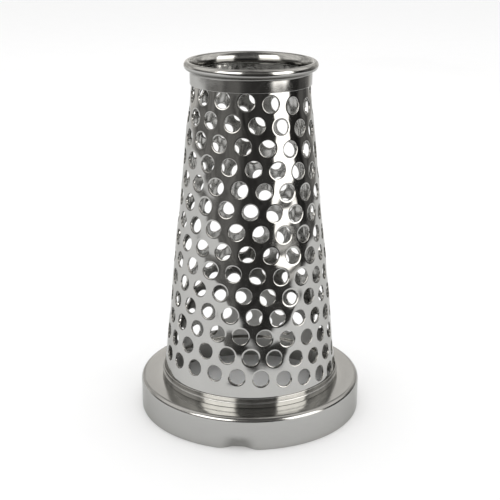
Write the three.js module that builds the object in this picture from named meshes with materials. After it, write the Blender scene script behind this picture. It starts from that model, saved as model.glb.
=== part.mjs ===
// Perforated conical mold in stainless steel, open at both ends, on a pressed base flange.
// Units are millimetres. +Z is up, the origin is the middle of the base, and the front is -Y.
// Azimuths are measured from the front, positive towards +X.

import * as THREE from 'three';
import { mergeVertices } from 'three/addons/utils/BufferGeometryUtils.js';

const CLEARANCE = 0.3;
const WELD_TOLERANCE = 1e-4;

// Base flange: a ring pressed from sheet, standing on the edge of its skirt. The flat seat on
// its top, clear of the neck ring, starts at the seat radius.
const FLANGE_RADIUS = 43.5;
const FLANGE_HEIGHT = 12.8;
const FLANGE_SHEET = 1.2;
const FLANGE_BEND_RADIUS = 1.9;
const FLANGE_BORE_RADIUS = 32.4;
const FLANGE_SEAT_RADIUS = 35.8;
const FLANGE_SEGMENTS = 80;

// Locating notch: a shallow dent pressed into the lower edge of the skirt.
const NOTCH_AZIMUTH = THREE.MathUtils.degToRad(-5.8);
const NOTCH_HALF_WIDTH = 7.5;
const NOTCH_HEIGHT = 6.0;
const NOTCH_DEPTH = 2.6;

// Cone: the outer face of the rolled sheet, between the neck ring and the rim collar.
const CONE_SHEET = 0.8;
const CONE_FOOT_RADIUS = 34.09;
const CONE_FOOT_HEIGHT = 16.6;
const CONE_HALF_ANGLE = THREE.MathUtils.degToRad(6.07);
const CONE_SEGMENTS = 48;

// Margins of the cone: drawn in a little so that the ring and the collar slip over them.
const FOOT_MARGIN_RADIUS = 33.8;
const CONE_HEAD_HEIGHT = 129.2;
const HEAD_MARGIN_RADIUS = 21.8;
const HEAD_MARGIN_TOP = 131.9;
const JOGGLE_HEIGHT = 0.4;

// Perforation: round holes on a 60 degree triangular pitch, laid out on the flat blank.
// The blank is a sector about the cone's apex. Its two straight edges meet at the welded seam,
// which stands to the right of the back.
const HOLE_DIAMETER = 6.0;
const HOLE_PITCH = 9.0;
const HOLE_SIDES = 8;
const ROW_TILT = THREE.MathUtils.degToRad(-4.335);
const FIRST_HOLE_ACROSS = 4.22;
const FIRST_HOLE_FROM_APEX = 314.95;
const ROW_COUNT = 20;
const HOLES_TO_EACH_SIDE = 20;
const EDGE_TO_HOLE_CENTRE_AT_FOOT = 3.7;
const EDGE_TO_HOLE_CENTRE_AT_HEAD = 3.15;
const SEAM_TO_HOLE_CENTRE = 4.0;
const SEAM_AZIMUTH = THREE.MathUtils.degToRad(127.5);
const EDGE_STEP = 4.5;

// Neck ring: a stepped ferrule round the joint between the cone and the flange.
const NECK_BORE_RADIUS = 34.1;
const NECK_LOWER_RADIUS = 35.0;
const NECK_UPPER_RADIUS = 34.6;
const NECK_STEP_HEIGHT = 15.0;
const NECK_GROOVE_DEPTH = 0.15;
const NECK_GROOVE_WIDTH = 0.25;
const NECK_CORNER = 0.3;
const NECK_SEGMENTS = 48;

// Rim collar: a plain band over the cone's upper margin, rolled outwards into an oval bead. Inside, it
// flares from the cone's edge to the top of the bead.
const COLLAR_BORE_RADIUS = 22.2;
const COLLAR_RADIUS = 22.7;
const COLLAR_FOOT_HEIGHT = 129.4;
const COLLAR_LEAD_IN = 0.2;
const BEAD_CENTRE_RADIUS = 23.57;
const BEAD_CENTRE_HEIGHT = 135.56;
const BEAD_HALF_WIDTH = 1.3;
const BEAD_HALF_HEIGHT = 1.6;
const BEAD_START_DEGREES = -110;
const BEAD_STEPS = 7;
const FLARE_FOOT_RADIUS = 21.6;
const FLARE_FOOT_HEIGHT = 132.5;
const FLARE_SHOULDER = 0.3;
const FLARE_STEPS = 4;
const COLLAR_SEGMENTS = 48;

function polishedSteel() {
  return new THREE.MeshStandardMaterial({ color: 0xc9cac7, roughness: 0.08, metalness: 1 });
}

function satinSteel() {
  return new THREE.MeshStandardMaterial({ color: 0xa6a6a2, roughness: 0.34, metalness: 1 });
}

// Points of an oval in the (radius, height) plane, angles in degrees from the outward direction.
function ovalPoints(centre, halfWidth, halfHeight, fromDegrees, toDegrees, steps) {
  const points = [];
  for (let step = 0; step <= steps; step += 1) {
    const angle = THREE.MathUtils.degToRad(fromDegrees + ((toDegrees - fromDegrees) * step) / steps);
    const across = centre.x + halfWidth * Math.cos(angle);
    const up = centre.y + halfHeight * Math.sin(angle);
    points.push(new THREE.Vector2(across, up));
  }
  return points;
}

function arcPoints(centreRadius, centreHeight, radius, fromDegrees, toDegrees, steps) {
  const centre = new THREE.Vector2(centreRadius, centreHeight);
  return ovalPoints(centre, radius, radius, fromDegrees, toDegrees, steps);
}

// A closed (radius, height) profile turned round the Z axis.
function turned(profile, segments) {
  const geometry = new THREE.LatheGeometry([...profile, profile[0].clone()], segments);
  geometry.deleteAttribute('normal');
  geometry.deleteAttribute('uv');
  geometry.rotateX(Math.PI / 2);
  return mergeVertices(geometry, WELD_TOLERANCE);
}

function namedMesh(name, geometry, material) {
  geometry.computeVertexNormals();
  const mesh = new THREE.Mesh(geometry, material);
  mesh.name = name;
  return mesh;
}

// ---- base flange ----

function flangeProfile() {
  const innerBend = FLANGE_BEND_RADIUS - FLANGE_SHEET;
  const bendRadius = FLANGE_RADIUS - FLANGE_BEND_RADIUS;
  const bendHeight = FLANGE_HEIGHT - FLANGE_BEND_RADIUS;
  const skirtInside = FLANGE_RADIUS - FLANGE_SHEET;
  const notchSteps = [0, NOTCH_HEIGHT / 3, (2 * NOTCH_HEIGHT) / 3, NOTCH_HEIGHT];
  return [
    new THREE.Vector2(FLANGE_BORE_RADIUS, FLANGE_HEIGHT - FLANGE_SHEET),
    ...arcPoints(bendRadius, bendHeight, innerBend, 90, 0, 1),
    ...notchSteps.toReversed().map((height) => new THREE.Vector2(skirtInside, height)),
    ...notchSteps.map((height) => new THREE.Vector2(FLANGE_RADIUS, height)),
    ...arcPoints(bendRadius, bendHeight, FLANGE_BEND_RADIUS, 0, 90, 3),
    new THREE.Vector2(FLANGE_SEAT_RADIUS, FLANGE_HEIGHT),
    new THREE.Vector2(FLANGE_BORE_RADIUS, FLANGE_HEIGHT),
  ];
}

// How far the dent pushes the skirt inwards at a distance along the skirt and a height.
function notchPush(along, height) {
  const across = 1 - THREE.MathUtils.smoothstep(Math.abs(along), 0, NOTCH_HALF_WIDTH);
  const upwards = 1 - THREE.MathUtils.smoothstep(height, 0, NOTCH_HEIGHT);
  return NOTCH_DEPTH * across * upwards;
}

function pressNotch(geometry) {
  const position = geometry.attributes.position;
  for (let index = 0; index < position.count; index += 1) {
    const x = position.getX(index);
    const y = position.getY(index);
    const radius = Math.hypot(x, y);
    const along = (Math.atan2(x, -y) - NOTCH_AZIMUTH) * FLANGE_RADIUS;
    const scale = (radius - notchPush(along, position.getZ(index))) / radius;
    position.setX(index, x * scale);
    position.setY(index, y * scale);
  }
}

function makeBaseFlange() {
  const geometry = turned(flangeProfile(), FLANGE_SEGMENTS);
  pressNotch(geometry);
  return namedMesh('base_flange', geometry, satinSteel());
}

// ---- neck ring ----

function neckProfile() {
  const foot = FLANGE_HEIGHT + CLEARANCE;
  const grooveRadius = NECK_UPPER_RADIUS - NECK_GROOVE_DEPTH;
  return [
    new THREE.Vector2(NECK_BORE_RADIUS, foot),
    new THREE.Vector2(NECK_LOWER_RADIUS, foot),
    new THREE.Vector2(NECK_LOWER_RADIUS, NECK_STEP_HEIGHT - NECK_CORNER),
    new THREE.Vector2(grooveRadius, NECK_STEP_HEIGHT),
    new THREE.Vector2(NECK_UPPER_RADIUS, NECK_STEP_HEIGHT + NECK_GROOVE_WIDTH),
    new THREE.Vector2(NECK_UPPER_RADIUS, CONE_FOOT_HEIGHT - NECK_CORNER),
    new THREE.Vector2(NECK_UPPER_RADIUS - NECK_CORNER, CONE_FOOT_HEIGHT),
    new THREE.Vector2(NECK_BORE_RADIUS, CONE_FOOT_HEIGHT),
  ];
}

function makeNeckRing() {
  return namedMesh('neck_ring', turned(neckProfile(), NECK_SEGMENTS), polishedSteel());
}

// ---- perforated cone ----

// The cone is laid out flat, as a sector about its apex, and then rolled. A flat point is
// (across, up): across is positive to the right of the front line, and the apex is at (0, 0).

const SINE = Math.sin(CONE_HALF_ANGLE);
const COSINE = Math.cos(CONE_HALF_ANGLE);
const APEX_HEIGHT = CONE_FOOT_HEIGHT + CONE_FOOT_RADIUS / Math.tan(CONE_HALF_ANGLE);
const BLANK_START = SEAM_AZIMUTH - 2 * Math.PI;
const SHEET_FOOT_HEIGHT = CONE_FOOT_HEIGHT + JOGGLE_HEIGHT;

function slantDistance(height) {
  return (APEX_HEIGHT - height) / COSINE;
}

function flatPoint(azimuth, distance, edge) {
  const turn = azimuth * SINE;
  const point = new THREE.Vector2(distance * Math.sin(turn), -distance * Math.cos(turn));
  point.edge = edge;
  return point;
}

// Where a flat point lies once the sheet is rolled, on the face that is `depth` inside the outer one.
function rolled(point, depth) {
  const azimuth = Math.atan2(point.x, -point.y) / SINE;
  const distance = point.length();
  return aroundAxis(azimuth, distance * SINE - depth, APEX_HEIGHT - distance * COSINE);
}

function aroundAxis(azimuth, radius, height) {
  return new THREE.Vector3(radius * Math.sin(azimuth), -radius * Math.cos(azimuth), height);
}

// Centres of the holes on the flat sheet: rows of a triangular pattern, kept off every edge.
function holeCentres() {
  const lowest = slantDistance(CONE_FOOT_HEIGHT) - EDGE_TO_HOLE_CENTRE_AT_FOOT;
  const highest = slantDistance(CONE_HEAD_HEIGHT) + EDGE_TO_HOLE_CENTRE_AT_HEAD;
  const first = new THREE.Vector2(FIRST_HOLE_ACROSS, -FIRST_HOLE_FROM_APEX);
  const alongRow = new THREE.Vector2(HOLE_PITCH, 0).rotateAround(new THREE.Vector2(), ROW_TILT);
  const toNextRow = alongRow.clone().rotateAround(new THREE.Vector2(), Math.PI / 3);
  const centres = [];
  for (let row = 0; row < ROW_COUNT; row += 1) {
    for (let step = -HOLES_TO_EACH_SIDE; step <= HOLES_TO_EACH_SIDE; step += 1) {
      const centre = first.clone().addScaledVector(toNextRow, row);
      centre.addScaledVector(alongRow, step - Math.round(row / 2));
      const distance = centre.length();
      const turn = Math.atan2(centre.x, -centre.y);
      const turnToSeam = Math.min(SEAM_AZIMUTH * SINE - turn, turn - BLANK_START * SINE);
      const toSeam = distance * Math.sin(turnToSeam);
      if (distance < lowest && distance > highest && toSeam > SEAM_TO_HOLE_CENTRE) {
        centres.push(centre);
      }
    }
  }
  return centres;
}

// The corners of one hole: a polygon with its corners on the round hole.
function holeCorners(centre) {
  const sideAngle = (2 * Math.PI) / HOLE_SIDES;
  const corners = [];
  for (let side = 0; side < HOLE_SIDES; side += 1) {
    const angle = (side + 0.5) * sideAngle;
    const corner = new THREE.Vector2(Math.cos(angle), Math.sin(angle));
    corner.multiplyScalar(HOLE_DIAMETER / 2).add(centre);
    corner.edge = 'hole';
    corners.push(corner);
  }
  return corners;
}

// Points along the foot, the head and both sides of the seam, with the corners on foot and head.
function borderPoints() {
  const foot = slantDistance(SHEET_FOOT_HEIGHT);
  const head = slantDistance(CONE_HEAD_HEIGHT);
  const points = [];
  for (let segment = 0; segment <= CONE_SEGMENTS; segment += 1) {
    const azimuth = BLANK_START + (2 * Math.PI * segment) / CONE_SEGMENTS;
    points.push(flatPoint(azimuth, foot, 'foot'));
    points.push(flatPoint(azimuth, head, 'head'));
  }
  const seamSteps = Math.round((foot - head) / EDGE_STEP);
  for (let step = 1; step < seamSteps; step += 1) {
    const distance = THREE.MathUtils.lerp(foot, head, step / seamSteps);
    points.push(flatPoint(BLANK_START, distance, 'seam'));
    points.push(flatPoint(SEAM_AZIMUTH, distance, 'seam'));
  }
  return points;
}

function circleThrough(a, b, c) {
  const ab = b.clone().sub(a);
  const ac = c.clone().sub(a);
  const scale = 1 / (2 * ab.cross(ac));
  const x = scale * (ac.y * ab.lengthSq() - ab.y * ac.lengthSq());
  const y = scale * (ab.x * ac.lengthSq() - ac.x * ab.lengthSq());
  return { centre: new THREE.Vector2(a.x + x, a.y + y), radiusSquared: x * x + y * y };
}

// The directed edges of some triangles that no neighbour among them shares.
function openEdges(triangles) {
  const edges = new Map();
  for (const { corners } of triangles) {
    for (let side = 0; side < 3; side += 1) {
      const edge = [corners[side], corners[(side + 1) % 3]];
      edges.set(edge.join(), edge);
    }
  }
  return [...edges.values()].filter(([from, to]) => !edges.has([to, from].join()));
}

// Delaunay triangulation in the plane, adding one point at a time (Bowyer and Watson's method).
// It starts from one triangle with far corners. Points on a circle count as outside it.
function triangulate(points) {
  const far = 1e4;
  const tolerance = 1e-6;
  const frame = [new THREE.Vector2(-far, -far), new THREE.Vector2(far, -far), new THREE.Vector2(0, far)];
  const all = [...points, ...frame];
  const makeTriangle = (corners) => {
    const circle = circleThrough(...corners.map((corner) => all[corner]));
    return { corners, circle };
  };
  let triangles = [makeTriangle([points.length, points.length + 1, points.length + 2])];
  points.forEach((point, index) => {
    const isHit = ({ circle }) => {
      return circle.centre.distanceToSquared(point) < circle.radiusSquared - tolerance;
    };
    const hit = triangles.filter(isHit);
    const fan = openEdges(hit).map(([from, to]) => makeTriangle([from, to, index]));
    triangles = [...triangles.filter((triangle) => !isHit(triangle)), ...fan];
  });
  return triangles.filter(({ corners }) => corners.every((corner) => corner < points.length));
}

// From the outer face of the sheet to its inner face, over the edge that the point is on.
function overEdge(point) {
  const azimuth = Math.atan2(point.x, -point.y) / SINE;
  const margins = {
    hole: [],
    foot: [
      [FOOT_MARGIN_RADIUS, CONE_FOOT_HEIGHT],
      [FOOT_MARGIN_RADIUS, FLANGE_HEIGHT + CLEARANCE],
    ],
    head: [
      [HEAD_MARGIN_RADIUS, CONE_HEAD_HEIGHT + JOGGLE_HEIGHT],
      [HEAD_MARGIN_RADIUS, HEAD_MARGIN_TOP],
    ],
  };
  const margin = margins[point.edge];
  const outside = margin.map(([radius, height]) => aroundAxis(azimuth, radius, height));
  const inside = margin.map(([radius, height]) => aroundAxis(azimuth, radius - CONE_SHEET, height));
  return [rolled(point, 0), ...outside, ...inside.toReversed(), rolled(point, CONE_SHEET)];
}

function rollSheet(points, triangles) {
  const corners = [];
  for (const triangle of triangles) {
    const flat = triangle.corners.map((corner) => points[corner]);
    corners.push(...flat.map((point) => rolled(point, 0)));
    corners.push(...flat.map((point) => rolled(point, CONE_SHEET)).toReversed());
  }
  for (const [from, to] of openEdges(triangles).map((edge) => edge.map((end) => points[end]))) {
    if (from.edge === to.edge && from.edge !== 'seam') {
      const near = overEdge(from);
      const next = overEdge(to);
      for (let step = 1; step < near.length; step += 1) {
        corners.push(next[step - 1], near[step - 1], near[step]);
        corners.push(next[step - 1], near[step], next[step]);
      }
    }
  }
  return mergeVertices(new THREE.BufferGeometry().setFromPoints(corners), WELD_TOLERANCE);
}

// The centres and the apex are added to the triangulation and taken out again with every
// triangle on them, which leaves the holes open.
function makePerforatedCone() {
  const centres = holeCentres();
  const points = [new THREE.Vector2(), ...centres];
  const firstEdgePoint = points.length;
  points.push(...borderPoints(), ...centres.flatMap(holeCorners));
  const onSheet = ({ corners }) => corners.every((corner) => corner >= firstEdgePoint);
  const triangles = triangulate(points).filter(onSheet);
  return namedMesh('perforated_cone', rollSheet(points, triangles), polishedSteel());
}

// ---- rim collar ----

function collarProfile() {
  const beadCentre = new THREE.Vector2(BEAD_CENTRE_RADIUS, BEAD_CENTRE_HEIGHT);
  const flareCentre = new THREE.Vector2(BEAD_CENTRE_RADIUS, FLARE_FOOT_HEIGHT);
  const flareWidth = BEAD_CENTRE_RADIUS - FLARE_FOOT_RADIUS;
  const flareHeight = BEAD_CENTRE_HEIGHT + BEAD_HALF_HEIGHT - FLARE_FOOT_HEIGHT;
  return [
    new THREE.Vector2(COLLAR_BORE_RADIUS + COLLAR_LEAD_IN, COLLAR_FOOT_HEIGHT),
    new THREE.Vector2(COLLAR_RADIUS, COLLAR_FOOT_HEIGHT),
    new THREE.Vector2(COLLAR_RADIUS, BEAD_CENTRE_HEIGHT - BEAD_HALF_HEIGHT),
    ...ovalPoints(
      beadCentre,
      BEAD_HALF_WIDTH,
      BEAD_HALF_HEIGHT,
      BEAD_START_DEGREES,
      90,
      BEAD_STEPS,
    ),
    ...ovalPoints(flareCentre, flareWidth, flareHeight, 90, 180, FLARE_STEPS).slice(1),
    new THREE.Vector2(COLLAR_BORE_RADIUS, FLARE_FOOT_HEIGHT - FLARE_SHOULDER),
    new THREE.Vector2(COLLAR_BORE_RADIUS, COLLAR_FOOT_HEIGHT + COLLAR_LEAD_IN),
  ];
}

function makeRimCollar() {
  return namedMesh('rim_collar', turned(collarProfile(), COLLAR_SEGMENTS), polishedSteel());
}

const mold = new THREE.Group();
mold.add(makeBaseFlange());
mold.add(makeNeckRing());
mold.add(makePerforatedCone());
mold.add(makeRimCollar());

export default mold;
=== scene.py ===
"""Looks of a perforated steel cone that stands on a pressed flange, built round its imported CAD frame.

All lengths are metres. +Z is up and the front is -Y. Azimuths are measured from the front, positive
towards +X. The cone's sheet is laid out flat before it is rolled. A flat point is (across, up), with
the cone's apex at (0, 0), and its slant is its distance from the apex.
"""

import math

import bpy
import numpy as np
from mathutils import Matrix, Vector
from mathutils.geometry import delaunay_2d_cdt


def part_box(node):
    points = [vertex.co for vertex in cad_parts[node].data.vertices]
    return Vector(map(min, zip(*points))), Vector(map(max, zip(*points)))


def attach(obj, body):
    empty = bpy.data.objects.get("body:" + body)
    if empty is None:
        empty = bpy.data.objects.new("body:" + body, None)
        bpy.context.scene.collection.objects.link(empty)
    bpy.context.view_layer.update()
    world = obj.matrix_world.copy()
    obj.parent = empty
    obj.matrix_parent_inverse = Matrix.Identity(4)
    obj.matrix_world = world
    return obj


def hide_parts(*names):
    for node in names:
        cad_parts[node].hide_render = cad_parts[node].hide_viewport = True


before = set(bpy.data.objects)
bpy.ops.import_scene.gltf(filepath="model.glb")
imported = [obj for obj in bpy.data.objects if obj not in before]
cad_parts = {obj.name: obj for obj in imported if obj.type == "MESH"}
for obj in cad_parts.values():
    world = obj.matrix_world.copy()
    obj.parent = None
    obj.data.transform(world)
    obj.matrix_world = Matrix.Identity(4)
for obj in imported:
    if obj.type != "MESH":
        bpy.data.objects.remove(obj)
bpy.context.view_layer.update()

MM = 0.001
UP = np.array([0.0, 0.0, 1.0])

# ---- sizes from the frame ----

FLANGE_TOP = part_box("base_flange")[1].z
FLANGE_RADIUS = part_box("base_flange")[1].x
NECK_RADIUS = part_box("neck_ring")[1].x
NECK_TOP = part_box("neck_ring")[1].z
RIM_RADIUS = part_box("rim_collar")[1].x
RIM_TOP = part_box("rim_collar")[1].z

# ---- sizes of the flange ----

FLANGE_SHEET = 1.2 * MM
FLANGE_BEND = 1.9 * MM
FLANGE_BORE = 32.4 * MM
FLANGE_SEGMENTS = 360
BEND_STEPS = 12
INNER_BEND_STEPS = 6
BORE_EDGE = 0.4 * MM
BORE_EDGE_STEPS = 5
SKIRT_EDGE = 0.25 * MM
SKIRT_STEPS = 14

NOTCH_AZIMUTH = math.radians(-5.8)
NOTCH_HALF_WIDTH = 7.5 * MM
NOTCH_HEIGHT = 6.0 * MM
NOTCH_DEPTH = 2.6 * MM
NOTCH_FLOOR = 1.5 * MM

# ---- sizes of the neck ring ----

NECK_FOOT_GAP = 0.02 * MM
NECK_WALL = 0.55 * MM
NECK_EDGE = 0.12 * MM
NECK_STEP_HEIGHT = 15.0 * MM
NECK_STEP = 0.4 * MM
NECK_SHOULDER_DROP = 0.1 * MM
NECK_SHOULDER = 0.45 * MM
NECK_GROOVE_DEPTH = 0.12 * MM
NECK_GROOVE_WIDTH = 0.25 * MM
NECK_GROOVE_EDGE = 0.08 * MM
NECK_TOP_EDGE = 0.2 * MM
NECK_TO_CONE = 0.01 * MM

# ---- sizes of the cone ----

CONE_SHEET = 0.8 * MM
CONE_FOOT_RADIUS = 34.09 * MM
CONE_HALF_ANGLE = math.radians(6.07)
CONE_HEAD_HEIGHT = 129.1 * MM
CONE_FOOT_EDGE = FLANGE_TOP + 0.2 * MM
CONE_HEAD_EDGE = 132.5 * MM
SINE = math.sin(CONE_HALF_ANGLE)
COSINE = math.cos(CONE_HALF_ANGLE)
APEX_HEIGHT = NECK_TOP + CONE_FOOT_RADIUS / math.tan(CONE_HALF_ANGLE)

# Slants of the neck's top, of the fold where the sheet turns straight up inside the collar, and of
# the sheet's own foot and head edges.
NECK_SLANT = (APEX_HEIGHT - NECK_TOP) / COSINE
FOLD_SLANT = (APEX_HEIGHT - CONE_HEAD_HEIGHT) / COSINE
FOOT_SLANT = (APEX_HEIGHT - CONE_FOOT_EDGE) / COSINE
HEAD_SLANT = FOLD_SLANT - (CONE_HEAD_EDGE - CONE_HEAD_HEIGHT)

HOLE_RADIUS = 3.0 * MM
HOLE_PITCH = 9.0 * MM
HOLE_SEGMENTS = 28
ROW_TILT = math.radians(-4.335)
ROW_ANGLE = math.pi / 3
ROW_COUNT = 20
HOLES_TO_EACH_SIDE = 20
FIRST_HOLE = np.array([4.22, -314.95]) * MM
NECK_TO_LOWEST_CENTRE = 0.2 * MM
FOLD_TO_HIGHEST_CENTRE = -0.5 * MM
SEAM_TO_CENTRE = 4.0 * MM
SEAM_AZIMUTH = math.radians(127.5)
BLANK_START = SEAM_AZIMUTH - 2 * math.pi
SEAM_RIDGE = 0.09 * MM
SEAM_RIDGE_WIDTH = 1.1 * MM

# Round the back the rows run a little steeper and wider, as if the sheet were stretched in rolling.
STRETCH = 1.02
STRETCH_TURN = math.radians(-1.25)
STRETCH_CENTRE = np.array([-40.3, -224.4]) * MM
STRETCH_FROM = math.radians(85)
STRETCH_FULL = math.radians(125)

# Shallow waves left in the sheet by punching and rolling: length in mm, direction on the flat sheet
# in degrees, slope in degrees and phase in turns.
WAVES = [
    (31, 4, 1.2, 0.10), (22, -12, 1.2, 0.55), (17, 17, 1.2, 0.30), (12.5, -5, 1.6, 0.80),
    (46, 80, 0.6, 0.25), (19, 62, 0.9, 0.65), (14, -58, 1.3, 0.05), (10.5, 35, 1.4, 0.45),
]
WAVE_FADE = 5 * MM

# Rings from the web round a hole, over its softened edge, down its wall and out on the inside. Each
# is (beyond the hole's radius, depth below the outer face, tilt of the normal in degrees). The faces
# below the first few have the finish of the outer face, and the others that of the inner face.
HOLE_RINGS = [
    (0.75 * MM, 0.0, 2.0),
    (0.45 * MM, 0.010 * MM, 4.5),
    (0.24 * MM, 0.026 * MM, 10),
    (0.13 * MM, 0.045 * MM, 22),
    (0.05 * MM, 0.095 * MM, 50),
    (0.005 * MM, 0.170 * MM, 80),
    (0.0, 0.25 * MM, 90),
    (0.0, CONE_SHEET - 0.14 * MM, 90),
    (0.03 * MM, CONE_SHEET - 0.05 * MM, 130),
    (0.12 * MM, CONE_SHEET, 172),
    (0.75 * MM, CONE_SHEET, 180),
]
BUFFED_RINGS = 7
WEB_RADIUS = HOLE_RADIUS + HOLE_RINGS[0][0]

# Spacing of the points that carry the sheet between its holes.
SHEET_SEGMENTS = 180
SEAM_STEP = 1.6 * MM
SEAM_COLUMNS = (0.3 * MM, 0.6 * MM, 0.9 * MM, 1.3 * MM, 1.8 * MM)
GRID_STEP = 1.5 * MM
GRID_TO_EDGE = 0.9 * MM
GRID_TO_SEAM = 2.6 * MM
GRID_TO_FOLD = 0.6 * MM
GRID_TO_HOLE = 1.25 * MM
POINT_TO_WEB = 0.3 * MM
TOUCHING = 0.001 * MM
WHOLE_TRIANGULATION = 0
MERGE_DISTANCE_IN_MM = 1e-6

# ---- sizes of the rim collar ----

COLLAR_SHEET = 0.55 * MM
COLLAR_EDGE = 0.12 * MM
COLLAR_EDGE_STEPS = 4
COLLAR_DROP = 0.4 * MM
COLLAR_FILLET = 1.1 * MM
COLLAR_FILLET_END = 97
COLLAR_FILLET_STEPS = 14
COLLAR_RADIUS = 22.7 * MM
BEAD_HALF_WIDTH = 1.3 * MM
BEAD_HALF_HEIGHT = 1.6 * MM
BEAD_STEPS = 40
FLARE_FOOT_RADIUS = 21.5 * MM
FLARE_FOOT = 132.7 * MM
FLARE_STEPS = 30
CREASE = RIM_TOP - 2 * BEAD_HALF_HEIGHT

TURNED_SEGMENTS = 240
ROUNDING_STEPS = 6


# ---- mesh helpers ----

def smoothstep(value, low, high):
    share = np.clip((value - low) / (high - low), 0, 1)
    return share * share * (3 - 2 * share)


def nearest(points, centres):
    """Distance from each point to the nearest of the centres."""
    return np.linalg.norm(points[:, None, :] - centres[None, :, :], axis=2).min(axis=1)


def make_object(name, vertices, faces, normals, materials, face_slots=None):
    """A mesh object with its own vertex normals."""
    mesh = bpy.data.meshes.new(name)
    mesh.from_pydata([tuple(v) for v in vertices], [], [tuple(int(i) for i in f) for f in faces])
    for material in materials:
        mesh.materials.append(material)
    if face_slots is not None:
        mesh.polygons.foreach_set("material_index", np.asarray(face_slots, np.int32))
    mesh.polygons.foreach_set("use_smooth", np.ones(len(mesh.polygons), bool))
    mesh.normals_split_custom_set_from_vertices([tuple(n) for n in normals])
    mesh.update()
    piece = bpy.data.objects.new(name, mesh)
    bpy.context.scene.collection.objects.link(piece)
    return piece


def oval(centre_radius, centre_height, half_width, half_height, start, end, steps):
    """Points of an oval in the (radius, height) plane, angles in degrees from outward."""
    angles = np.radians(np.linspace(start, end, steps + 1))
    across = centre_radius + half_width * np.cos(angles)
    up = centre_height + half_height * np.sin(angles)
    return [tuple(point) for point in np.stack([across, up], axis=1)]


def arc(centre_radius, centre_height, radius, start, end, steps):
    return oval(centre_radius, centre_height, radius, radius, start, end, steps)


def rounded(corners):
    """A closed profile whose corners, each (radius, height, rounding), are turned into arcs."""
    points = []
    for index, (across, up, rounding) in enumerate(corners):
        here = np.array([across, up])
        if rounding == 0:
            points.append(tuple(here))
            continue
        before = np.array(corners[index - 1][:2])
        after = np.array(corners[(index + 1) % len(corners)][:2])
        to_before = (before - here) / np.linalg.norm(before - here)
        to_after = (after - here) / np.linalg.norm(after - here)
        half = math.acos(np.clip(np.dot(to_before, to_after), -1, 1)) / 2
        reach = rounding / math.tan(half)
        inward = (to_before + to_after) / np.linalg.norm(to_before + to_after)
        centre = here + inward * (rounding / math.sin(half))
        start = here + to_before * reach - centre
        end = here + to_after * reach - centre
        total = math.pi - 2 * half
        for step in range(ROUNDING_STEPS + 1):
            share = step / ROUNDING_STEPS
            weight_start = math.sin((1 - share) * total) / math.sin(total)
            weight_end = math.sin(share * total) / math.sin(total)
            points.append(tuple(centre + start * weight_start + end * weight_end))
    return points


def profile_normals(profile):
    """Normals of a closed profile, the longer neighbouring side counting for more."""
    points = np.array(profile)
    sides = np.roll(points, -1, axis=0) - points
    side_normals = np.stack([sides[:, 1], -sides[:, 0]], axis=1)
    lengths = np.linalg.norm(side_normals, axis=1, keepdims=True)
    weighted = side_normals * lengths
    normals = weighted + np.roll(weighted, 1, axis=0)
    return normals / np.linalg.norm(normals, axis=1, keepdims=True)


def turn(name, profile, material, segments=TURNED_SEGMENTS):
    """A closed profile, drawn anticlockwise in (radius, height), turned round the Z axis."""
    points = np.array(profile)
    flat_normals = profile_normals(profile)
    azimuths = np.arange(segments) * 2 * math.pi / segments
    outward = np.stack([np.sin(azimuths), -np.cos(azimuths), np.zeros(segments)], axis=1)
    vertices = points[None, :, :1] * outward[:, None, :] + points[None, :, 1:] * UP
    normals = flat_normals[None, :, :1] * outward[:, None, :] + flat_normals[None, :, 1:] * UP
    count = len(profile)
    faces = []
    for segment in range(segments):
        here = segment * count
        there = (segment + 1) % segments * count
        for index in range(count):
            following = (index + 1) % count
            faces.append((here + index, there + index, there + following, here + following))
    return make_object(name, vertices.reshape(-1, 3), faces, normals.reshape(-1, 3), [material])


# ---- material helpers ----

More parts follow.
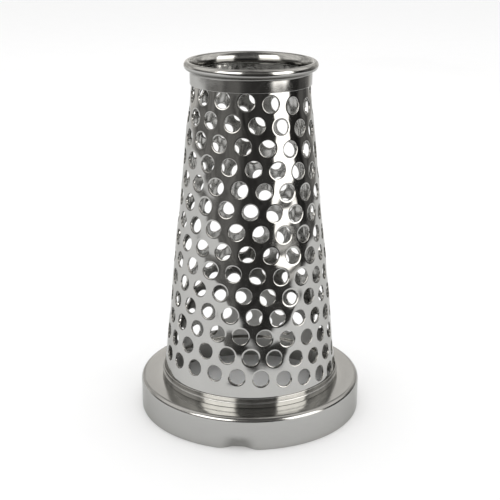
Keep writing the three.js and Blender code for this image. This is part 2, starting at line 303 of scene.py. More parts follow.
class Shader:
    """A node material with one Principled shader, and short ways to add nodes to it."""

    def __init__(self, name):
        self.material = bpy.data.materials.new(name)
        self.material.use_nodes = True
        self.tree = self.material.node_tree
        self.bsdf = self.tree.nodes["Principled BSDF"]

    def node(self, kind, **inputs):
        node = self.tree.nodes.new(kind)
        for key, value in inputs.items():
            self.feed(node.inputs[key.replace("_", " ")], value)
        return node

    def feed(self, socket, value):
        if isinstance(value, bpy.types.NodeSocket):
            self.tree.links.new(value, socket)
        else:
            socket.default_value = value

    def math(self, operation, *values):
        node = self.tree.nodes.new("ShaderNodeMath")
        node.operation = operation
        for socket, value in zip(node.inputs, values):
            self.feed(socket, value)
        return node.outputs[0]

    def place(self):
        return self.tree.nodes.new("ShaderNodeTexCoord").outputs["Object"]

    def polar(self):
        """Distance from the Z axis, azimuth and height."""
        across, along, height = self.node("ShaderNodeSeparateXYZ", Vector=self.place()).outputs
        squares = self.math("ADD", self.math("MULTIPLY", across, across), self.math("MULTIPLY", along, along))
        return self.math("SQRT", squares), self.math("ARCTAN2", across, along), height

    def rings(self, stretch):
        """A vector whose noise is drawn out round the axis: a small stretch gives long lines."""
        radius, azimuth, height = self.polar()
        turned = self.math("MULTIPLY", azimuth, stretch)
        return self.node("ShaderNodeCombineXYZ", X=turned, Y=radius, Z=height).outputs[0]

    def attribute(self, name):
        node = self.tree.nodes.new("ShaderNodeAttribute")
        node.attribute_name = name
        return node.outputs["Fac"]

    def noise(self, vector, scale, detail=2.0, roughness=0.5):
        node = self.node(
            "ShaderNodeTexNoise", Vector=vector, Scale=scale, Detail=detail, Roughness=roughness
        )
        return node.outputs[0]

    def spread(self, value, low, high, to_low, to_high):
        node = self.node(
            "ShaderNodeMapRange", Value=value, From_Min=low, From_Max=high, To_Min=to_low, To_Max=to_high
        )
        return node.outputs[0]

    def mix_colour(self, factor, first, second):
        """The mix node shares socket names between its kinds, so the colour ones go by number."""
        node = self.tree.nodes.new("ShaderNodeMix")
        node.data_type = "RGBA"
        self.feed(node.inputs["Factor"], factor)
        node.inputs[6].default_value = (*first, 1)
        node.inputs[7].default_value = (*second, 1)
        return node.outputs[2]

    def bump(self, height, distance, **inputs):
        return self.node("ShaderNodeBump", Height=height, Distance=distance, **inputs).outputs[0]

    def finish(self, **inputs):
        for key, value in inputs.items():
            self.feed(self.bsdf.inputs[key.replace("_", " ")], value)
        return self.material


# ---- materials ----

EDGE_TINT = (0.72, 0.72, 0.71, 1)
POLISHED_DARK = (0.42, 0.418, 0.405)
POLISHED_LIGHT = (0.48, 0.478, 0.464)
# The dark crease colour is painted shade in the crease under the rim's bead.
CREASE_PAINTED_SHADE = (0.17, 0.168, 0.16)
CREASE_LIGHT = (0.47, 0.468, 0.454)
SATIN_DARK = (0.385, 0.383, 0.372)
SATIN_LIGHT = (0.45, 0.448, 0.436)

LINES_SCALE = 2600.0
POLISHED_HAZE_SCALE = 70.0
POLISHED_WAVES_SCALE = 85.0
SATIN_HAZE_SCALE = 55.0
BUFFING_BUMP = 0.0012 * MM
WAVES_BUMP = 0.3 * MM
SATIN_BUMP = 0.003 * MM
CREASE_CORE = 0.5 * MM
CREASE_REACH = 1.3 * MM


def crease_painted_shade_colour(shader, haze, height, crease):
    """Painted shade: darker within a narrow band about the height of the crease under the bead, standing in
    for the shaded floor that the crease mirrors.
    """
    away = shader.math("ABSOLUTE", shader.math("SUBTRACT", height, crease))
    clear = shader.spread(away, CREASE_CORE, CREASE_REACH, 0.0, 1.0)
    tone = shader.math("MULTIPLY", shader.spread(haze, 0.3, 0.7, 0.88, 1.0), clear)
    return shader.mix_colour(tone, CREASE_PAINTED_SHADE, CREASE_LIGHT)


def polished_steel(name, roughness_low, roughness_high, crease=None):
    """Buffed stainless sheet: a warm grey mirror with faint buffing lines and handling haze, with painted
    shade about a crease when one is given.
    """
    shader = Shader(name)
    place = shader.place()
    buffing = shader.noise(shader.rings(0.005), LINES_SCALE, 3.0)
    haze = shader.noise(place, POLISHED_HAZE_SCALE, 4.0)
    waves = shader.noise(place, POLISHED_WAVES_SCALE, 1.0)
    # Given a crease height, the colour carries painted shade in a band about that height.
    if crease is None:
        colour = shader.mix_colour(haze, POLISHED_DARK, POLISHED_LIGHT)
    else:
        colour = crease_painted_shade_colour(shader, haze, shader.polar()[2], crease)
    blend = shader.math("MULTIPLY", shader.math("ADD", haze, buffing), 0.5)
    roughness = shader.spread(blend, 0.35, 0.65, roughness_low, roughness_high)
    normal = shader.bump(buffing, BUFFING_BUMP, Normal=shader.bump(waves, WAVES_BUMP))
    return shader.finish(
        Metallic=1.0, Base_Color=colour, Roughness=roughness, Normal=normal, Specular_Tint=EDGE_TINT
    )


def satin_steel():
    """Turned stainless sheet: fine rings round the axis, soft grey."""
    shader = Shader("satin_steel_rings")
    rings = shader.noise(shader.rings(0.004), LINES_SCALE, 3.0, 0.6)
    haze = shader.noise(shader.place(), SATIN_HAZE_SCALE, 3.0)
    colour = shader.mix_colour(rings, SATIN_DARK, SATIN_LIGHT)
    roughness = shader.spread(haze, 0.3, 0.7, 0.13, 0.19)
    normal = shader.bump(rings, SATIN_BUMP)
    return shader.finish(
        Metallic=1.0, Base_Color=colour, Roughness=roughness, Normal=normal, Specular_Tint=EDGE_TINT
    )


# ---- base flange ----

def flange_profile():
    """Up the outside of the skirt, over the top, down the bore and back along the inside."""
    inside = FLANGE_RADIUS - FLANGE_SHEET
    under = FLANGE_TOP - FLANGE_SHEET
    bend_across = FLANGE_RADIUS - FLANGE_BEND
    bend_up = FLANGE_TOP - FLANGE_BEND
    edge_across = FLANGE_BORE + BORE_EDGE
    heights = [NOTCH_HEIGHT * step / SKIRT_STEPS for step in range(1, SKIRT_STEPS + 1)]
    heights = [height for height in heights if height > 2 * SKIRT_EDGE]
    profile = [(FLANGE_RADIUS, height) for height in heights]
    profile += arc(bend_across, bend_up, FLANGE_BEND, 0, 90, BEND_STEPS)
    profile += arc(edge_across, FLANGE_TOP - BORE_EDGE, BORE_EDGE, 90, 180, BORE_EDGE_STEPS)
    profile += arc(edge_across, under + BORE_EDGE, BORE_EDGE, 180, 270, BORE_EDGE_STEPS)
    profile += arc(bend_across, bend_up, FLANGE_BEND - FLANGE_SHEET, 90, 0, INNER_BEND_STEPS)
    profile += [(inside, height) for height in reversed(heights)]
    foot = rounded([
        (inside, NOTCH_HEIGHT, 0),
        (inside, 0, SKIRT_EDGE),
        (FLANGE_RADIUS, 0, SKIRT_EDGE),
        (FLANGE_RADIUS, NOTCH_HEIGHT, 0),
    ])
    return profile + foot[1:-1]


def press_notch(piece):
    """Pushes the skirt's lower edge inwards over the width of the notch."""
    mesh = piece.data
    places = np.zeros(len(mesh.vertices) * 3)
    mesh.vertices.foreach_get("co", places)
    places = places.reshape(-1, 3)
    radius = np.hypot(places[:, 0], places[:, 1])
    azimuth = np.arctan2(places[:, 0], -places[:, 1])
    along = np.abs(azimuth - NOTCH_AZIMUTH) * FLANGE_RADIUS
    across = 1 - smoothstep(along, NOTCH_FLOOR, NOTCH_HALF_WIDTH)
    upwards = 1 - smoothstep(places[:, 2], 0, NOTCH_HEIGHT)
    on_skirt = radius > FLANGE_RADIUS - 1.5 * FLANGE_SHEET
    push = NOTCH_DEPTH * across * upwards * on_skirt
    places[:, :2] *= ((radius - push) / radius)[:, None]
    mesh.vertices.foreach_set("co", places.ravel())
    mesh.update()


def make_base_flange(material):
    """The pressed ring. Its normals follow the mesh, because the notch changes the surface."""
    piece = turn("flange_shell", flange_profile(), material, FLANGE_SEGMENTS)
    press_notch(piece)
    piece.data.attributes.remove(piece.data.attributes["custom_normal"])
    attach(piece, "root")
    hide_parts("base_flange")


# ---- neck ring ----

def make_neck_ring(material):
    """A thin ferrule with a groove between its wider lower half and its upper half."""
    foot = FLANGE_TOP + NECK_FOOT_GAP
    upper = NECK_RADIUS - NECK_STEP
    profile = rounded([
        (NECK_RADIUS - NECK_WALL, foot, 0),
        (NECK_RADIUS, foot, NECK_EDGE),
        (NECK_RADIUS, NECK_STEP_HEIGHT - NECK_SHOULDER_DROP, NECK_SHOULDER),
        (upper - NECK_GROOVE_DEPTH, NECK_STEP_HEIGHT, NECK_GROOVE_EDGE),
        (upper, NECK_STEP_HEIGHT + NECK_GROOVE_WIDTH, NECK_EDGE),
        (upper, NECK_TOP, NECK_TOP_EDGE),
        (CONE_FOOT_RADIUS + NECK_TO_CONE, NECK_TOP, 0),
    ])
    piece = turn("neck_ferrule", profile, material)
    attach(piece, "root")
    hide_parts("neck_ring")


# ---- perforated cone: the flat sheet ----

def flat_turn(flat):
    """Angle of flat points about the apex."""
    return np.arctan2(flat[..., 0], -flat[..., 1])


def turn_to_seam(turn_angle):
    """Angle on the flat sheet from a direction to the nearer side of the seam."""
    return np.minimum(SEAM_AZIMUTH * SINE - turn_angle, turn_angle - BLANK_START * SINE)


def on_arc(slant, turn_angle):
    return np.stack([slant * np.sin(turn_angle), -slant * np.cos(turn_angle)], axis=1)


def stretched(centre):
    share = smoothstep(-flat_turn(centre) / SINE, STRETCH_FROM, STRETCH_FULL)
    cosine = math.cos(STRETCH_TURN)
    sine = math.sin(STRETCH_TURN)
    x, y = centre - STRETCH_CENTRE
    moved = STRETCH_CENTRE + STRETCH * np.array([x * cosine - y * sine, x * sine + y * cosine])
    return centre + (moved - centre) * share


def hole_centres():
    """Centres of the holes on the flat sheet, in rows of a triangular pattern."""
    lowest = NECK_SLANT - NECK_TO_LOWEST_CENTRE
    highest = FOLD_SLANT + FOLD_TO_HIGHEST_CENTRE
    along_row = HOLE_PITCH * np.array([math.cos(ROW_TILT), math.sin(ROW_TILT)])
    next_angle = ROW_TILT + ROW_ANGLE
    to_next_row = HOLE_PITCH * np.array([math.cos(next_angle), math.sin(next_angle)])
    centres = []
    for row in range(ROW_COUNT):
        for step in range(-HOLES_TO_EACH_SIDE, HOLES_TO_EACH_SIDE + 1):
            centre = stretched(FIRST_HOLE + to_next_row * row + along_row * (step - round(row / 2)))
            slant = np.linalg.norm(centre)
            to_seam = slant * math.sin(turn_to_seam(flat_turn(centre)))
            if highest < slant < lowest and to_seam > SEAM_TO_CENTRE:
                centres.append(centre)
    return np.array(centres)


def hole_spokes():
    angles = np.arange(HOLE_SEGMENTS) * 2 * math.pi / HOLE_SEGMENTS
    return np.stack([np.cos(angles), np.sin(angles)], axis=1)


def seam_points(centres):
    """Rows of points beside the seam, close enough to carry its ridge and clear of the holes."""
    points = []
    for slant in np.arange(HEAD_SLANT, FOOT_SLANT, SEAM_STEP)[1:]:
        for away in SEAM_COLUMNS:
            for angle in (SEAM_AZIMUTH * SINE - away / slant, BLANK_START * SINE + away / slant):
                points.append((slant * math.sin(angle), -slant * math.cos(angle)))
    points = np.array(points)
    return points[nearest(points, centres) > WEB_RADIUS + POINT_TO_WEB]


def fold_points(turns, centres):
    """Points along the fold at the cone's head, clear of the holes."""
    points = on_arc(FOLD_SLANT, turns)[1:-1]
    return points[nearest(points, centres) > WEB_RADIUS + POINT_TO_WEB]


def grid_points(centres):
    """A grid of points on the plain parts of the sheet, clear of holes, seam, fold and edges."""
    first = BLANK_START * SINE
    last = SEAM_AZIMUTH * SINE
    xs = np.arange(FOOT_SLANT * math.sin(first), FOOT_SLANT * math.sin(last), GRID_STEP)
    ys = np.arange(-FOOT_SLANT, -HEAD_SLANT * math.cos(first), GRID_STEP)
    grid = np.array(np.meshgrid(xs, ys)).reshape(2, -1).T
    grid[:, 0] += (np.round((grid[:, 1] - ys[0]) / GRID_STEP) % 2) * GRID_STEP / 2
    slant = np.linalg.norm(grid, axis=1)
    inside = (slant > HEAD_SLANT + GRID_TO_EDGE) & (slant < FOOT_SLANT - GRID_TO_EDGE)
    inside &= turn_to_seam(flat_turn(grid)) * slant > GRID_TO_SEAM
    inside &= np.abs(slant - FOLD_SLANT) > GRID_TO_FOLD
    grid = grid[inside]
    return grid[nearest(grid, centres) > HOLE_RADIUS + GRID_TO_HOLE]


def flat_sheet(centres):
    """All the flat points, and the numbers of the points in each named group."""
    turns = np.linspace(BLANK_START * SINE, SEAM_AZIMUTH * SINE, SHEET_SEGMENTS + 1)
    side_slants = np.arange(HEAD_SLANT, FOOT_SLANT, SEAM_STEP)[1:]
    groups = {
        "web": (centres[:, None, :] + WEB_RADIUS * hole_spokes()[None, :, :]).reshape(-1, 2),
        "foot": on_arc(FOOT_SLANT, turns),
        "head": on_arc(HEAD_SLANT, turns),
        "left": on_arc(side_slants, turns[0]),
        "right": on_arc(side_slants, turns[-1]),
        "fold": fold_points(turns, centres),
        "seam": seam_points(centres),
        "grid": grid_points(centres),
    }
    numbers = {}
    start = 0
    for name, points in groups.items():
        numbers[name] = np.arange(start, start + len(points))
        start += len(points)
    return np.concatenate(list(groups.values())), numbers


def kept_edges(numbers):
    """Edges that the triangles keep: round each hole, and along the foot and the head."""
    edges = []
    for first in numbers["web"][::HOLE_SEGMENTS].tolist():
        for index in range(HOLE_SEGMENTS):
            edges.append((first + index, first + (index + 1) % HOLE_SEGMENTS))
    for name in ("foot", "head"):
        border = numbers[name].tolist()
        edges += list(zip(border[:-1], border[1:]))
    return edges


def off_the_sheet(triangles, flat, numbers):
    """Which triangles have all corners round one hole, along the head or along one side of the seam."""
    hole = np.full(len(flat), -1)
    hole[numbers["web"]] = numbers["web"] // HOLE_SEGMENTS
    holes = hole[triangles]
    in_hole = (holes[:, 0] >= 0) & (holes == holes[:, :1]).all(axis=1)
    slant = np.linalg.norm(flat, axis=1)
    past_head = (slant < HEAD_SLANT + TOUCHING)[triangles].all(axis=1)
    to_seam = turn_to_seam(flat_turn(flat)) * slant
    in_seam = (to_seam < TOUCHING)[triangles].all(axis=1)
    return in_hole | past_head | in_seam


def triangulate(flat, numbers):
    """Triangles of the sheet between its holes, all turned the same way."""
    in_mm = [Vector(point) for point in flat * 1000.0]
    edges = kept_edges(numbers)
    result = delaunay_2d_cdt(in_mm, edges, [], WHOLE_TRIANGULATION, MERGE_DISTANCE_IN_MM, True)
    _, _, faces, sources, _, _ = result
    source = np.array([group[0] for group in sources])
    triangles = source[np.array([list(face) for face in faces if len(face) == 3])]
    triangles = triangles[~off_the_sheet(triangles, flat, numbers)]

    a, b, c = (flat[triangles[:, corner]] for corner in range(3))
    turned_over = (b[:, 0] - a[:, 0]) * (c[:, 1] - a[:, 1]) < (b[:, 1] - a[:, 1]) * (c[:, 0] - a[:, 0])
    triangles[turned_over] = triangles[turned_over][:, ::-1]
    return triangles


def join_seam(count, numbers):
    """For each flat point, the one that stands for it once the two sides of the seam meet."""
    joined = np.arange(count)
    joined[numbers["right"]] = numbers["left"]
    for name in ("foot", "head"):
        joined[numbers[name][-1]] = numbers[name][0]
    return joined


# ---- perforated cone: the rolled sheet ----

def sheet_waves(flat):
    """How far the waves lift the sheet, and the slopes of that lift along x and y of the flat."""
    slant = np.linalg.norm(flat, axis=1)
    fade = smoothstep(slant, FOLD_SLANT, FOLD_SLANT + WAVE_FADE)
    fade = fade * (1 - smoothstep(slant, NECK_SLANT - WAVE_FADE, NECK_SLANT))
    fade = fade * smoothstep(slant * turn_to_seam(flat_turn(flat)), 0, WAVE_FADE)
    lift = np.zeros(len(flat))
    slopes = np.zeros((len(flat), 2))
    for length, direction, steepness, phase in WAVES:
        angle = math.radians(direction)
        along = np.array([math.cos(angle), math.sin(angle)])
        turns = 2 * math.pi * (flat @ along / (length * MM) + phase)
        lift += math.radians(steepness) * length * MM / (2 * math.pi) * np.sin(turns)
        slopes += math.radians(steepness) * np.cos(turns)[:, None] * along
    return lift * fade, slopes * fade[:, None]


def seam_ridge(slant, azimuth):
    """How far the weld bead lifts the sheet, and the slope of that lift round the cone."""
    to_seam = slant * turn_to_seam(azimuth * SINE)
    ridge = SEAM_RIDGE * np.exp(-((to_seam / SEAM_RIDGE_WIDTH) ** 2))
    side = np.sign(SEAM_AZIMUTH - math.pi - azimuth)
    return ridge, 2 * to_seam / SEAM_RIDGE_WIDTH**2 * ridge * side


def roll(flat, depth, towards=None, tilt=0.0):
    """Places flat points of the sheet on the rolled cone, with their normals.

    depth is how far a point lies inside the outer face. tilt turns the normal from straight out
    towards the flat direction given in towards.
    """
    slant = np.linalg.norm(flat, axis=1)
    azimuth = flat_turn(flat) / SINE
    above_fold = np.maximum(FOLD_SLANT - slant, 0)
    on_cone = np.maximum(slant, FOLD_SLANT)
    outward = np.stack([np.sin(azimuth), -np.cos(azimuth), 0 * azimuth], axis=1)
    sideways = np.stack([np.cos(azimuth), np.sin(azimuth), 0 * azimuth], axis=1)
    lean = np.where(above_fold > 0, 0.0, CONE_HALF_ANGLE)[:, None]
    normal = outward * np.cos(lean) + UP * np.sin(lean)
    down = outward * np.sin(lean) - UP * np.cos(lean)

    ridge, ridge_slope = seam_ridge(slant, azimuth)
    lift, slopes = sheet_waves(flat)
    height = APEX_HEIGHT - on_cone * COSINE + above_fold
    place = outward * (on_cone * SINE)[:, None] + UP * height[:, None]
    place = place - normal * (depth - ridge - lift)[:, None]

    away = flat / slant[:, None]
    across = np.stack([-away[:, 1], away[:, 0]], axis=1)
    facing = normal + sideways * ridge_slope[:, None]
    facing = facing - sideways * np.sum(slopes * across, axis=1, keepdims=True)
    facing = facing - down * np.sum(slopes * away, axis=1, keepdims=True)
    if towards is not None:
        along_sheet = down * np.sum(towards * away, axis=1, keepdims=True)
        along_sheet = along_sheet + sideways * np.sum(towards * across, axis=1, keepdims=True)
        facing = facing * math.cos(tilt) + along_sheet * math.sin(tilt)
    return place, facing / np.linalg.norm(facing, axis=1, keepdims=True)


def hole_walls(centres):
    """Points and normals of the rings that lie between the webs on the two faces of the sheet."""
    spokes = np.tile(hole_spokes(), (len(centres), 1))
    middles = np.repeat(centres, HOLE_SEGMENTS, axis=0)
    rings = []
    for beyond, depth, tilt in HOLE_RINGS[1:-1]:
        ring = middles + (HOLE_RADIUS + beyond) * spokes
        rings.append(roll(ring, depth, towards=-spokes, tilt=math.radians(tilt)))
    places, normals = zip(*rings)
    return np.concatenate(places), np.concatenate(normals)


def wall_faces(upper, lower, web_count):
    """Faces between two rings of every hole, whose points start at upper and at lower."""
    faces = []
    for here in range(web_count):
        first = here - here % HOLE_SEGMENTS
        there = first + (here + 1) % HOLE_SEGMENTS
        faces.append((upper + here, upper + there, lower + there, lower + here))
    return faces


def border_faces(numbers, joined, inner_start):
    """Faces across the thickness of the sheet along its foot and its head."""
    faces = []
    for name, order in (("foot", 1), ("head", -1)):
        border = joined[numbers[name]]
        for near, far in zip(border[:-1], border[1:]):
            faces.append((near, near + inner_start, far + inner_start, far)[::order])
    return faces


def without_unused(vertices, normals, faces):
    used = np.zeros(len(vertices), bool)
    for face in faces:
        used[list(face)] = True
    number = np.cumsum(used) - 1
    return vertices[used], [tuple(number[list(face)]) for face in faces], normals[used]


def make_perforated_cone(outer_material, inner_material):
    """The sheet's outer face, inner face, hole walls and edges, rolled and joined at the seam."""
    centres = hole_centres()
    flat, numbers = flat_sheet(centres)
    joined = join_seam(len(flat), numbers)
    triangles = joined[triangulate(flat, numbers)]

    outer, outer_normals = roll(flat, 0.0)
    inner, inner_normals = roll(flat, CONE_SHEET)
    walls, wall_normals = hole_walls(centres)
    vertices = np.concatenate([outer, inner, walls])
    normals = np.concatenate([outer_normals, -inner_normals, wall_normals])

    inner_start = len(flat)
    faces = [tuple(triangle) for triangle in triangles]
    faces += [tuple(triangle[::-1] + inner_start) for triangle in triangles]
    slots = [0] * len(triangles) + [1] * len(triangles)
    web_count = len(numbers["web"])
    between = [2 * len(flat) + web_count * ring for ring in range(len(HOLE_RINGS) - 2)]
    ring_starts = [0, *between, inner_start]
    for level in range(len(HOLE_RINGS) - 1):
        faces += wall_faces(ring_starts[level], ring_starts[level + 1], web_count)
        slots += [0 if level < BUFFED_RINGS else 1] * web_count
    edge_faces = border_faces(numbers, joined, inner_start)
    faces += edge_faces
    slots += [0] * len(edge_faces)

    vertices, faces, normals = without_unused(vertices, normals, faces)
    materials = [outer_material, inner_material]
    piece = make_object("cone_sheet", vertices, faces, normals, materials, slots)
    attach(piece, "root")
    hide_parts("perforated_cone")


# ---- rim collar ----

def make_rim_collar(material):
    """The collar turns out into an oval bead, and inside it flares from the cone's edge."""
    bore = COLLAR_RADIUS - COLLAR_SHEET
    foot = CONE_HEAD_HEIGHT - COLLAR_DROP
    bead_across = RIM_RADIUS - BEAD_HALF_WIDTH
    bead_up = RIM_TOP - BEAD_HALF_HEIGHT
    fillet_across = COLLAR_RADIUS + COLLAR_FILLET
    fillet_up = CREASE - COLLAR_FILLET
    flare_width = bead_across - FLARE_FOOT_RADIUS
    flare_height = RIM_TOP - FLARE_FOOT
    edge_up = foot + COLLAR_EDGE
    profile = [(bore, foot)]
    profile += arc(COLLAR_RADIUS - COLLAR_EDGE, edge_up, COLLAR_EDGE, -90, 0, COLLAR_EDGE_STEPS)
    profile += [(COLLAR_RADIUS, foot + 1.0 * MM), (COLLAR_RADIUS, fillet_up - 0.5 * MM)]
    profile += arc(
        fillet_across, fillet_up, COLLAR_FILLET, 180, COLLAR_FILLET_END, COLLAR_FILLET_STEPS
    )
    profile += oval(bead_across, bead_up, BEAD_HALF_WIDTH, BEAD_HALF_HEIGHT, -90, 90, BEAD_STEPS)[1:]
    profile += oval(bead_across, FLARE_FOOT, flare_width, flare_height, 90, 180, FLARE_STEPS)[1:]
    profile += [(bore, FLARE_FOOT - 0.1 * MM)]
    piece = turn("collar_and_bead", profile, material)
    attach(piece, "root")
    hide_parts("rim_collar")


# ---- camera, floor and lights ----

CAMERA_PLACE = (-0.14 * MM, -393.1 * MM, 195.4 * MM)
CAMERA_PITCH = math.radians(18.551)
CAMERA_ROLL = math.radians(0.2)
LENS = 76.66
SENSOR = 36.0

FLOOR_HALF = 6.0
FLOOR_DARK = (0.90, 0.90, 0.90)
FLOOR_LIGHT = (0.92, 0.92, 0.92)

TOP_LIGHT_PLACE = (0.0, 0.1, 1.2)
TOP_LIGHT_SIDE = 0.9
TOP_LIGHT_POWER = 3.0


def make_camera():
    data = bpy.data.cameras.new("camera")
    data.sensor_width = SENSOR
    data.lens = LENS
    camera = bpy.data.objects.new("camera", data)
    camera.location = CAMERA_PLACE
    camera.rotation_euler = (math.pi / 2 - CAMERA_PITCH, 0.0, 0.0)
    camera.rotation_euler.rotate_axis("Z", CAMERA_ROLL)
    bpy.context.scene.collection.objects.link(camera)
    bpy.context.scene.camera = camera


def make_floor():
    corners = [(-1, -1), (1, -1), (1, 1), (-1, 1)]
    mesh = bpy.data.meshes.new("floor")
    mesh.from_pydata([(FLOOR_HALF * x, FLOOR_HALF * y, 0) for x, y in corners], [], [(0, 1, 2, 3)])
    floor = bpy.data.objects.new("floor", mesh)
    bpy.context.scene.collection.objects.link(floor)
    shader = Shader("floor_paper")
    grain = shader.noise(shader.place(), 40.0, 3.0)
    colour = shader.mix_colour(grain, FLOOR_DARK, FLOOR_LIGHT)
    mesh.materials.append(shader.finish(Base_Color=colour, Roughness=0.9))


def make_top_light():
    """A soft light over the object that polished steel doesn't mirror."""
    data = bpy.data.lights.new("top_light", "AREA")
    data.energy = TOP_LIGHT_POWER
    data.shape = "RECTANGLE"
    data.size = TOP_LIGHT_SIDE
    data.size_y = TOP_LIGHT_SIDE
    light = bpy.data.objects.new("top_light", data)
    light.location = TOP_LIGHT_PLACE
    to_origin = Vector() - Vector(TOP_LIGHT_PLACE)
    light.rotation_euler = to_origin.to_track_quat("-Z", "Y").to_euler()
    light.visible_glossy = False
    bpy.context.scene.collection.objects.link(light)


def make_world():
    world = bpy.data.worlds.new("studio")
    world.use_nodes = True
    background = world.node_tree.nodes["Background"]
    background.inputs["Color"].default_value = (1.0, 1.0, 1.0, 1)
    background.inputs["Strength"].default_value = 1.0
    bpy.context.scene.world = world


# ---- surround ----

# The surround is what the polished steel mirrors: cloth that lies on the table all round, dark in
# front and to the sides, with a wall, a top and two soft boxes. The tables go by azimuth in degrees:
# where the cloth starts on the table in mm, and the glow of the cloth, of the wall and of the top.
SURROUND_RADIUS = 900 * MM
SURROUND_HEIGHT = 1600 * MM
CLOTH_EDGE = [
    (-180, 895), (-118, 890), (-105, 800), (-90, 690), (-75, 640), (-60, 560), (-52, 450), (-45, 350),
    (-38, 285), (-30, 228), (-20, 205), (-10, 184), (0, 178), (10, 165), (18, 158), (28, 160),
    (38, 190), (50, 250), (58, 350), (66, 390), (75, 365), (85, 380), (95, 395), (105, 400),
    (120, 400), (132, 450), (140, 700), (148, 880), (180, 895),
]
CLOTH_GLOW = [
    (-180, 1.3), (-168, 1.2), (-160, 0.85), (-120, 0.75), (-108, 0.28), (-98, 0.24), (-55, 0.23),
    (-48, 0.18), (-22, 0.17), (-14, 0.09), (-8, 0.055), (30, 0.05), (74, 0.035), (96, 0.03),
    (102, 0.11), (116, 0.13), (130, 0.28), (142, 0.62), (152, 0.85), (180, 0.9),
]
WALL_GLOW = [
    (-180, 1.25), (-150, 0.8), (-130, 0.55), (-100, 1.1), (-75, 1.0), (-62, 0.5), (-15, 0.25), (36, 0.25),
    (75, 0.5), (100, 1.2), (130, 0.6), (150, 0.8), (180, 1.25),
]
TOP_GLOW = [
    (-180, 0.25), (-150, 0.4), (-125, 1.0), (-80, 1.0), (-62, 0.3), (-15, 0.12), (36, 0.12),
    (62, 0.25), (80, 1.0), (125, 1.0), (150, 0.4), (180, 0.25),
]
WALL_FROM = (320 * MM, 420 * MM)
TOP_FROM = (540 * MM, 700 * MM)

# The soft box on the right starts on the table and runs up the wall, a little turned at its foot,
# with a faint sheen on the cloth before it. The one on the left hangs on the wall.
LOW_BOX_GLOW = 3.2
HIGH_BOX_GLOW = 4.0
RIGHT_BOX_FOOT = (42.0, 66.0)
RIGHT_BOX = (36.5, 74.5)
RIGHT_BOX_SOFT = 1.2
RIGHT_BOX_REACH = (675 * MM, 735 * MM)
RIGHT_BOX_STRAIGHT = 960 * MM
RIGHT_BOX_TOP = (610 * MM, 910 * MM)
RIGHT_SHEEN = (46.0, 72.0)
RIGHT_SHEEN_SOFT = 4.0
RIGHT_SHEEN_REACH = (380 * MM, 520 * MM)
RIGHT_SHEEN_REACH_SOFT = 30 * MM
RIGHT_SHEEN_GLOW = 1.0
RIGHT_SHEEN_SHARE = 0.8
LEFT_BOX = (-62.0, -18.0)
LEFT_BOX_SOFT = 2.0
LEFT_BOX_FOOT = (250 * MM, 290 * MM)
LEFT_BOX_TOP = (830 * MM, 1070 * MM)

SURROUND_COLOUR = (1.0, 0.975, 0.94, 1)
SURROUND_STEP = 1.5
SURROUND_LIFT = 0.4 * MM
CLOTH_EDGE_SOFT = 0.09
CLOTH_ROWS = 24
LOW_WALL_HEIGHTS = np.arange(0.02, 0.4, 0.02)
HIGH_WALL_HEIGHTS = np.arange(0.4, SURROUND_HEIGHT + 0.01, 0.05)
TOP_REACHES = (0.6, 0.3, 0.0005)


def by_azimuth(azimuth, table):
    return np.interp(azimuth, *zip(*table))


def window(value, low, high, soft):
    return smoothstep(value, low - soft, low + soft) * (1 - smoothstep(value, high - soft, high + soft))


def mixed(first, second, share):
    return first + (second - first) * share


def right_box(azimuth, reach, height):
    """Share of the right soft box in the glow."""
    share = smoothstep(reach + height, RIGHT_BOX_REACH[0], RIGHT_BOX_STRAIGHT)
    low = mixed(RIGHT_BOX_FOOT[0], RIGHT_BOX[0], share)
    high = mixed(RIGHT_BOX_FOOT[1], RIGHT_BOX[1], share)
    top = 1 - smoothstep(height, *RIGHT_BOX_TOP)
    return window(azimuth, low, high, RIGHT_BOX_SOFT) * smoothstep(reach, *RIGHT_BOX_REACH) * top


def left_box(azimuth, height):
    """Share of the left soft box in the glow."""
    top = 1 - smoothstep(height, *LEFT_BOX_TOP)
    return window(azimuth, *LEFT_BOX, LEFT_BOX_SOFT) * smoothstep(height, *LEFT_BOX_FOOT) * top


def surround_glow(azimuth, reach, height):
    """Brightness of the surround at an azimuth, a distance from the axis and a height."""
    raised = smoothstep(height, *WALL_FROM)
    glow = mixed(by_azimuth(azimuth, CLOTH_GLOW), by_azimuth(azimuth, WALL_GLOW), raised)
    glow = mixed(glow, by_azimuth(azimuth, TOP_GLOW), smoothstep(height, *TOP_FROM))
    box_glow = mixed(LOW_BOX_GLOW, HIGH_BOX_GLOW, raised)
    glow = mixed(glow, box_glow, right_box(azimuth, reach, height))
    sheen = window(azimuth, *RIGHT_SHEEN, RIGHT_SHEEN_SOFT)
    sheen = sheen * window(reach, *RIGHT_SHEEN_REACH, RIGHT_SHEEN_REACH_SOFT)
    glow = mixed(glow, RIGHT_SHEEN_GLOW, sheen * RIGHT_SHEEN_SHARE)
    return float(mixed(glow, box_glow, left_box(azimuth, height)))


def surround_rows(azimuth):
    """From the edge of the cloth outwards, up the wall and in over the top: (reach, height, cover)."""
    edge = by_azimuth(azimuth, CLOTH_EDGE) * MM
    reaches = np.linspace(edge * (1 + CLOTH_EDGE_SOFT), SURROUND_RADIUS, CLOTH_ROWS)
    rows = [(edge * (1 - CLOTH_EDGE_SOFT), 0.0, 0.0)]
    rows += [(reach, 0.0, 1.0) for reach in reaches]
    rows += [(SURROUND_RADIUS, height, 1.0) for height in (*LOW_WALL_HEIGHTS, *HIGH_WALL_HEIGHTS)]
    rows += [(reach, SURROUND_HEIGHT, 1.0) for reach in TOP_REACHES]
    return rows


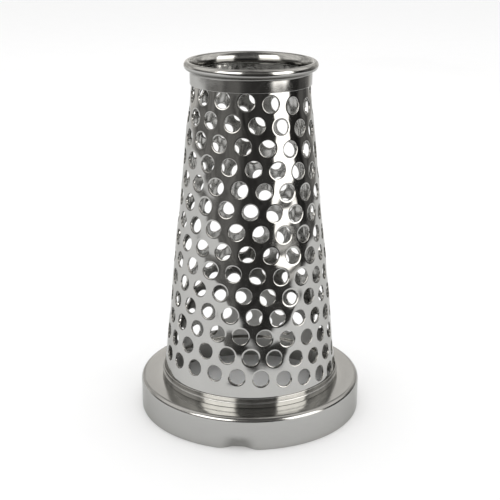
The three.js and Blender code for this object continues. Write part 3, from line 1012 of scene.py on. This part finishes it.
def surround_material():
    """Light given off as the mesh's glow says, uneven where it is dark, clear at the cloth's edge."""
    shader = Shader("surround_glow")
    glow = shader.attribute("glow")
    unevenness = shader.spread(shader.noise(shader.place(), 7.0, 1.5), 0.35, 0.65, -0.4, 0.45)
    strength = shader.math("MULTIPLY_ADD", shader.math("MINIMUM", glow, 0.6), unevenness, glow)
    emission = shader.node("ShaderNodeEmission", Color=SURROUND_COLOUR, Strength=strength)
    mix = shader.node("ShaderNodeMixShader")
    shader.feed(mix.inputs[0], shader.attribute("cover"))
    shader.feed(mix.inputs[1], shader.node("ShaderNodeBsdfTransparent").outputs[0])
    shader.feed(mix.inputs[2], emission.outputs[0])
    shader.feed(shader.tree.nodes["Material Output"].inputs["Surface"], mix.outputs[0])
    shader.tree.nodes.remove(shader.bsdf)
    return shader.material


def surround_mesh():
    vertices = []
    glows = []
    covers = []
    columns = np.arange(-180.0, 180.0, SURROUND_STEP)
    for azimuth in columns:
        angle = math.radians(azimuth)
        for reach, height, cover in surround_rows(azimuth):
            vertices.append((reach * math.sin(angle), -reach * math.cos(angle), height + SURROUND_LIFT))
            glows.append(surround_glow(azimuth, reach, height))
            covers.append(cover)
    count = len(vertices) // len(columns)
    faces = []
    for column in range(len(columns)):
        here = column * count
        there = (column + 1) % len(columns) * count
        for row in range(count - 1):
            faces.append((here + row, there + row, there + row + 1, here + row + 1))
    mesh = bpy.data.meshes.new("surround")
    mesh.from_pydata(vertices, [], faces)
    for name, values in (("glow", glows), ("cover", covers)):
        attribute = mesh.attributes.new(name, "FLOAT", "POINT")
        attribute.data.foreach_set("value", values)
    return mesh


def make_surround():
    """Only reflections see the surround: it neither shows nor lights anything else."""
    mesh = surround_mesh()
    mesh.materials.append(surround_material())
    surround = bpy.data.objects.new("surround", mesh)
    bpy.context.scene.collection.objects.link(surround)
    surround.visible_camera = False
    surround.visible_diffuse = False
    surround.visible_shadow = False
    surround.visible_transmission = False
    surround.visible_volume_scatter = False


# ---- the whole scene ----

make_camera()
make_floor()
make_world()
make_surround()
make_top_light()
bpy.context.scene.view_settings.view_transform = "Standard"

make_base_flange(satin_steel())
make_neck_ring(polished_steel("polished_neck", 0.05, 0.10))
make_perforated_cone(
    polished_steel("polished_sheet", 0.05, 0.11), polished_steel("sheet_inside", 0.08, 0.16)
)
# The rim's colour carries painted shade in the crease under its bead.
make_rim_collar(polished_steel("polished_rim", 0.09, 0.15, CREASE))
